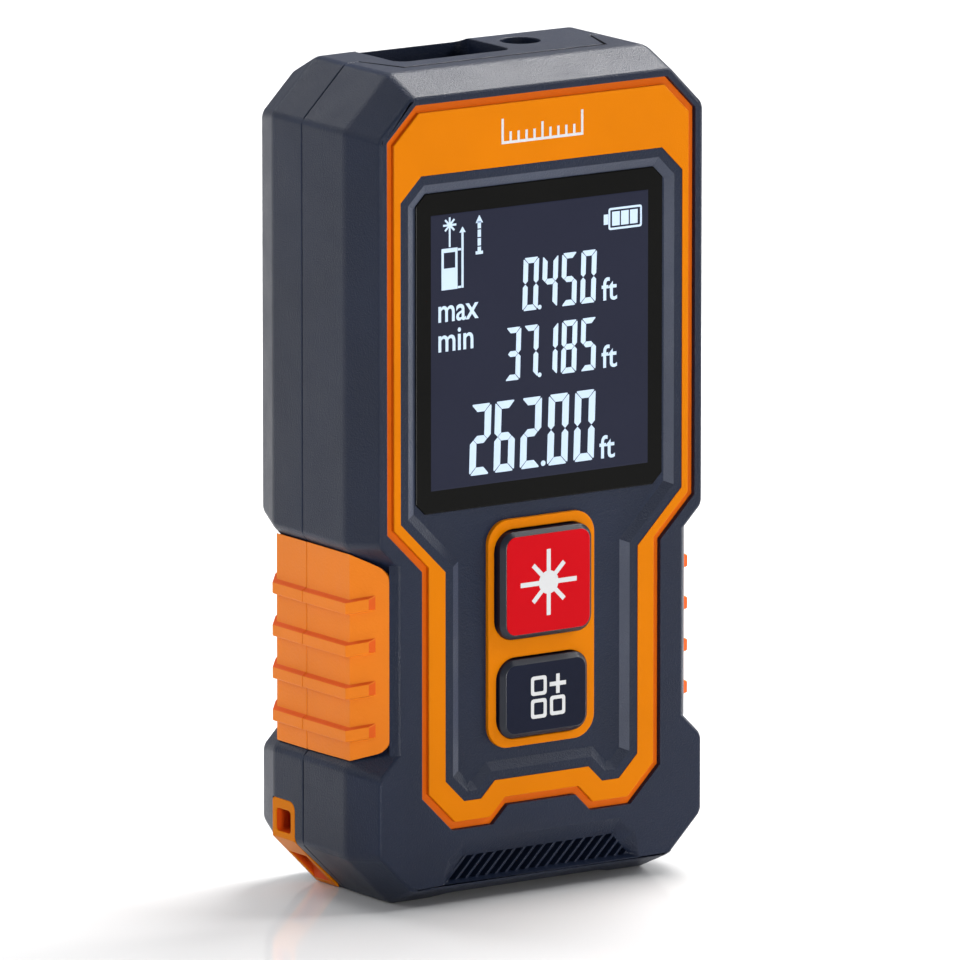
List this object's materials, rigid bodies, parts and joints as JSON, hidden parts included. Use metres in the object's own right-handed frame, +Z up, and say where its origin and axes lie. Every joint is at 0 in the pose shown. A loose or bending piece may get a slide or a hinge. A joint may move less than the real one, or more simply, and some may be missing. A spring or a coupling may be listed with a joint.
{
  "type": "laser distance meter",
  "caption": "Pocket laser distance meter with an upright ribbed case, display, sprung keys, optics openings on top, a strap bar and a battery door.",
  "frame": {"origin": "on the surface the meter stands on, under the middle of its box", "axes": "+Z up the case towards the laser end, -Y out of the display, +X to the right as the display is read"},
  "size_m": [0.0522, 0.0284, 0.105],
  "materials": {
    "case_navy": "fine matte moulded grain",
    "trim_orange": "smooth satin moulding",
    "grip_orange": "soft matte overmoulding",
    "anchor_orange": "satin moulding",
    "key_navy": "soft matte keys",
    "key_red": "satin red face",
    "window_black": "black printed border behind a glossy window",
    "lcd_glass": "dark blue-grey negative display",
    "light_guide": "milky white",
    "flex_film": "amber film",
    "mat_rubber": "matte",
    "switch_metal": "satin",
    "board_green": "solder mask",
    "chip_black": "matte",
    "carrier_black": "matte",
    "brass_barrel": "turned",
    "lens_glass": "clear polished",
    "optic_window": "dark glossy filter window",
    "shield_steel": "tinned",
    "cell_can": "plain printed can",
    "contact_steel": "nickel plated",
    "pad_foam": "foam",
    "label_film": "blank satin film",
    "screw_steel": "zinc plated"
  },
  "bodies": {
    "body": {"front_shell": "case_navy", "rear_shell": "case_navy", "bezel_trim": "trim_orange", "face_panel": "case_navy", "display_window": "window_black", "lcd_panel": "lcd_glass", "lcd_backlight": "light_guide", "lcd_flex": "flex_film", "keypad_frame": "trim_orange", "keypad_mat": "mat_rubber", "key_switches": "switch_metal", "grip_front_left": "grip_orange", "grip_front_right": "grip_orange", "grip_rear_left": "grip_orange", "grip_rear_right": "grip_orange", "lanyard_anchor": "anchor_orange", "main_board": "board_green", "processor": "chip_black", "buzzer": "chip_black", "optics_carrier": "carrier_black", "laser_module": "brass_barrel", "laser_lens": "lens_glass", "laser_window": "optic_window", "receiver_lens": "lens_glass", "receiver_window": "optic_window", "detector_board": "board_green", "detector_shield": "shield_steel", "battery_left": "cell_can", "battery_right": "cell_can", "battery_tray": "carrier_black", "battery_springs": "contact_steel", "battery_contacts": "contact_steel", "case_gasket": "mat_rubber", "rear_label": "label_film", "case_screws": "screw_steel", "board_screws": "screw_steel"},
    "measure_key": {"measure_button": "key_navy", "measure_button_face": "key_red"},
    "function_key": {"function_button": "key_navy"},
    "door": {"battery_door": "case_navy", "door_pad": "pad_foam"}
  },
  "joints": [
    {"name": "measure_key_press", "type": "slide", "parent": "body", "child": "measure_key", "axis": [0, 1, 0], "range_m": [0, 0.0006], "stiffness_N_per_m": 2000},
    {"name": "function_key_press", "type": "slide", "parent": "body", "child": "function_key", "axis": [0, 1, 0], "range_m": [0, 0.0006], "stiffness_N_per_m": 2000},
    {"name": "battery_door_lift", "type": "slide", "parent": "body", "child": "door", "axis": [0, 1, 0], "range_m": [0, 0.014]}
  ]
}
